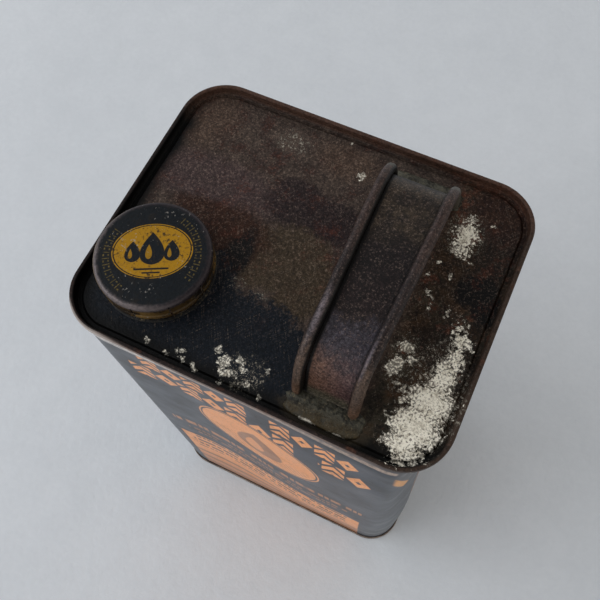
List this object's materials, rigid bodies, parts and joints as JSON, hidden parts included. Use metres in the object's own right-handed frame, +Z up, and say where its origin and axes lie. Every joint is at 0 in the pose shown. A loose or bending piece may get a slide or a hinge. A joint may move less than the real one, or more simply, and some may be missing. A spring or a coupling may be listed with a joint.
{
  "type": "oblong oil tin",
  "caption": "Oblong lithographed oil tin with double-seamed ends, a soldered strap handle and a lift-off snap cap on a short neck.",
  "frame": {"origin": "on the floor under the middle of the can", "axes": "+Z up; the printed label side faces -Y; +X to the right of that side, towards the handle"},
  "size_m": [0.146, 0.1156, 0.2776],
  "materials": {
    "litho_tinplate": "gloss printed navy and orange, faded",
    "rusted_tinplate": "dark brown rust and old lacquer",
    "handle_tinplate": "worn dark lacquer with rust",
    "cap_tinplate": "printed blue-black and amber, worn shoulder",
    "neck_tinplate": "dull tinplate",
    "solder": "oxidised solder and flux",
    "seam_compound": "dried sealing compound",
    "cork": "pressed cork",
    "foil": "thin foil"
  },
  "bodies": {
    "can": {"body_sheet": "litho_tinplate", "side_seam_solder": "solder", "top_panel": "rusted_tinplate", "bottom_panel": "rusted_tinplate", "top_seam_compound": "seam_compound", "bottom_seam_compound": "seam_compound", "neck": "neck_tinplate", "neck_solder": "solder", "handle_strap": "handle_tinplate", "handle_front_solder": "solder", "handle_rear_solder": "solder"},
    "cap_liner": {"cap_cork": "cork", "cap_cork_facing": "foil"},
    "cap": {"cap_shell": "cap_tinplate"}
  },
  "joints": [
    {"name": "cap_lift", "type": "slide", "parent": "can", "child": "cap_liner", "axis": [0, 0, 1], "range_m": [0, 0.06]},
    {"name": "cap_turn", "type": "hinge", "parent": "cap_liner", "child": "cap", "pos_m": [-0.0471, -0.0257, 0.2626], "axis": [0, 0, 1], "continuous": true}
  ]
}
